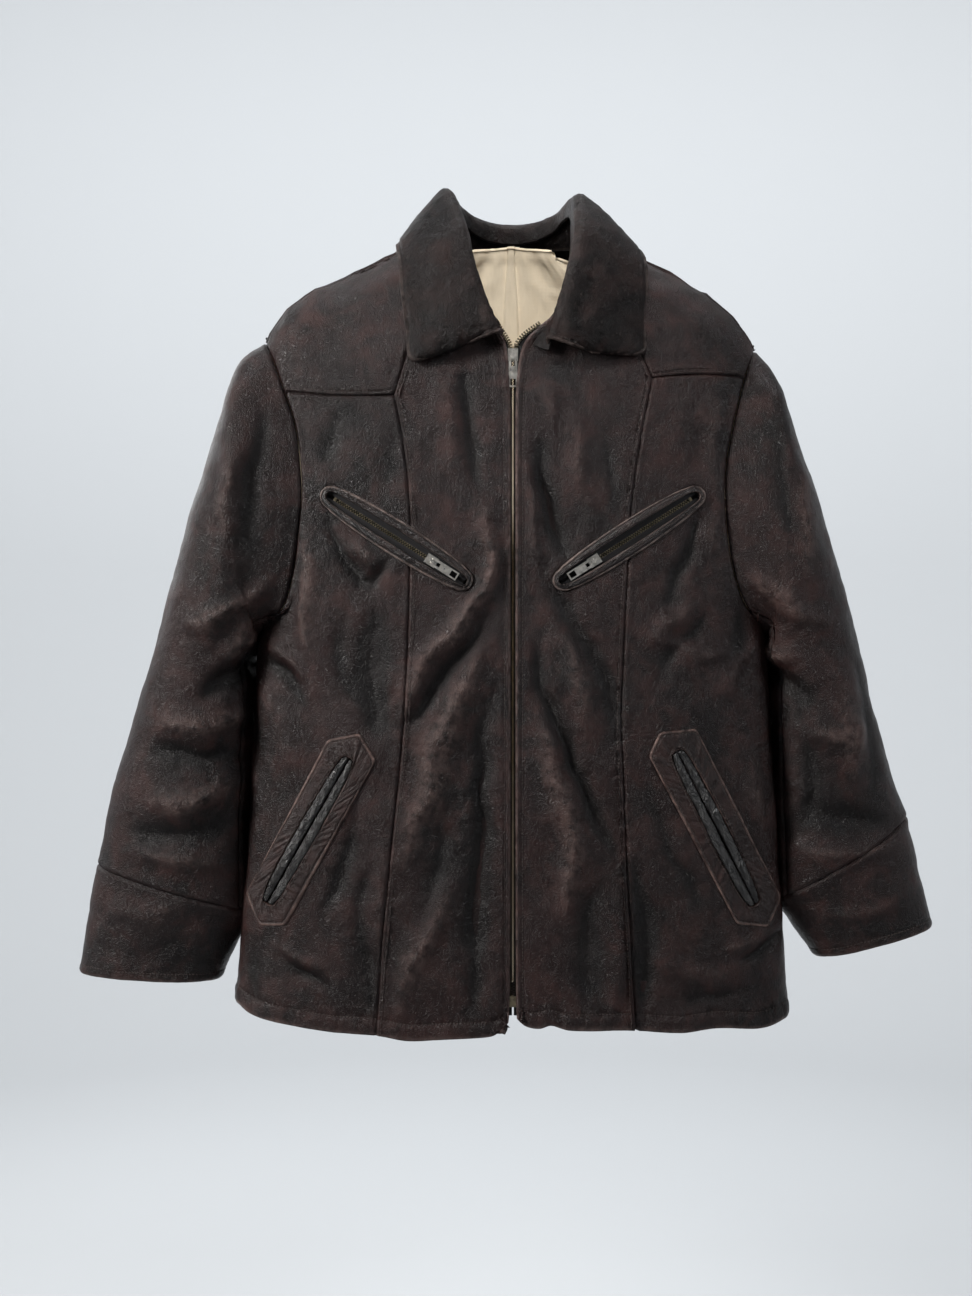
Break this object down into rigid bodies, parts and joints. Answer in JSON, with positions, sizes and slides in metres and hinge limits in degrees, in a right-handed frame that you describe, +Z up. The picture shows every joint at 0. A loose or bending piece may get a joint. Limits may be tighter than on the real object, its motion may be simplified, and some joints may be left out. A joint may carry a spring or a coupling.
{
  "type": "leather riding jacket",
  "caption": "Zip-front leather jacket with a pointed collar, slanted zipped chest pockets and welted hand pockets, empty and hanging from the shoulders.",
  "frame": {"origin": "middle of the shoulder line at the base of the neck, where a hanger carries the jacket", "axes": "+Z up, -Y out of the front, +X towards the wearer's left"},
  "size_m": [0.782, 0.1652, 0.7675],
  "materials": {
    "leather": "soft grained lambskin, satin, dark brown-black, mottled and worn",
    "collar_leather": "smooth leather, darker, satin",
    "pocket_leather": "grained leather, reddish brown with lighter worn edges",
    "welt_leather": "thin black leather, wrinkled, shiny",
    "lining": "plain cream cotton, matte",
    "pocket_cloth": "dark pocket cotton, matte",
    "label": "small plain white woven tab, matte",
    "zip_tape": "woven black cotton tape, matte",
    "zip_metal": "stamped aged brass",
    "pull_metal": "worn nickel-plated steel"
  },
  "bodies": {
    "jacket": {"back_panel_left": "leather", "back_panel_right": "leather", "back_yoke": "leather", "chest_pocket_bag_left": "pocket_cloth", "chest_pocket_bag_right": "pocket_cloth", "chest_pocket_frame_left": "pocket_leather", "chest_pocket_frame_right": "pocket_leather", "chest_zip_stops_left": "zip_metal", "chest_zip_stops_right": "zip_metal", "chest_zip_tape_left": "zip_tape", "chest_zip_tape_right": "zip_tape", "chest_zip_teeth_left": "zip_metal", "chest_zip_teeth_right": "zip_metal", "collar_stand": "collar_leather", "front_centre_left": "leather", "front_centre_right": "leather", "front_facing_left": "leather", "front_facing_right": "leather", "front_side_left": "leather", "front_side_right": "leather", "front_yoke_left": "leather", "front_yoke_right": "leather", "hand_pocket_back_welt_left": "welt_leather", "hand_pocket_back_welt_right": "welt_leather", "hand_pocket_bag_left": "pocket_cloth", "hand_pocket_bag_right": "pocket_cloth", "hand_pocket_front_welt_left": "welt_leather", "hand_pocket_front_welt_right": "welt_leather", "hand_pocket_patch_left": "pocket_leather", "hand_pocket_patch_right": "pocket_leather", "hem_facing": "leather", "lining_back": "lining", "lining_front_left": "lining", "lining_front_right": "lining", "main_zip_insert_pin": "zip_metal", "main_zip_retainer_box": "zip_metal", "main_zip_tape_left": "zip_tape", "main_zip_tape_right": "zip_tape", "main_zip_teeth_left": "zip_metal", "main_zip_teeth_right": "zip_metal", "main_zip_top_stops": "zip_metal", "neck_label": "label", "sleeve_head_left": "leather", "sleeve_head_right": "leather", "top_collar": "collar_leather", "under_collar": "collar_leather"},
    "main_slider": {"main_zip_slider": "pull_metal"},
    "main_pull": {"main_zip_pull": "pull_metal"},
    "chest_slider_left": {"chest_zip_slider_left": "pull_metal"},
    "chest_pull_left": {"chest_zip_pull_left": "pull_metal"},
    "sleeve_left": {"top_sleeve_left": "leather", "under_sleeve_left": "leather", "cuff_left": "leather", "sleeve_lining_left": "lining"},
    "chest_slider_right": {"chest_zip_slider_right": "pull_metal"},
    "chest_pull_right": {"chest_zip_pull_right": "pull_metal"},
    "sleeve_right": {"top_sleeve_right": "leather", "under_sleeve_right": "leather", "cuff_right": "leather", "sleeve_lining_right": "lining"}
  },
  "joints": [
    {"name": "main_zip_slide", "type": "slide", "parent": "jacket", "child": "main_slider", "axis": [0, 0, -1], "range_m": [0, 0.562], "deforming": ["main_zip_teeth_left", "main_zip_teeth_right"]},
    {"name": "main_pull_swing", "type": "hinge", "parent": "main_slider", "child": "main_pull", "pos_m": [0, -0.0613, -0.1026], "axis": [-1, 0, 0], "range_deg": [0, 150]},
    {"name": "chest_zip_slide_left", "type": "slide", "parent": "jacket", "child": "chest_slider_left", "axis": [0.8417, 0.0573, 0.5369], "range_m": [0, 0.0955], "deforming": ["chest_zip_teeth_left"]},
    {"name": "chest_pull_swing_left", "type": "hinge", "parent": "chest_slider_left", "child": "chest_pull_left", "pos_m": [0.07225, -0.06151, -0.28441], "axis": [-0.5357, -0.0365, 0.8436], "range_deg": [0, 150]},
    {"name": "sleeve_lift_left", "type": "hinge", "parent": "jacket", "child": "sleeve_left", "pos_m": [0.3, 0.006, -0.305], "axis": [0, -1, 0], "range_deg": [0, 30]},
    {"name": "chest_zip_slide_right", "type": "slide", "parent": "jacket", "child": "chest_slider_right", "axis": [-0.8417, 0.0573, 0.5369], "range_m": [0, 0.0955], "deforming": ["chest_zip_teeth_right"]},
    {"name": "chest_pull_swing_right", "type": "hinge", "parent": "chest_slider_right", "child": "chest_pull_right", "pos_m": [-0.07225, -0.06151, -0.28441], "axis": [-0.5357, 0.0365, -0.8436], "range_deg": [0, 150]},
    {"name": "sleeve_lift_right", "type": "hinge", "parent": "jacket", "child": "sleeve_right", "pos_m": [-0.3, 0.006, -0.305], "axis": [0, 1, 0], "range_deg": [0, 30]}
  ]
}
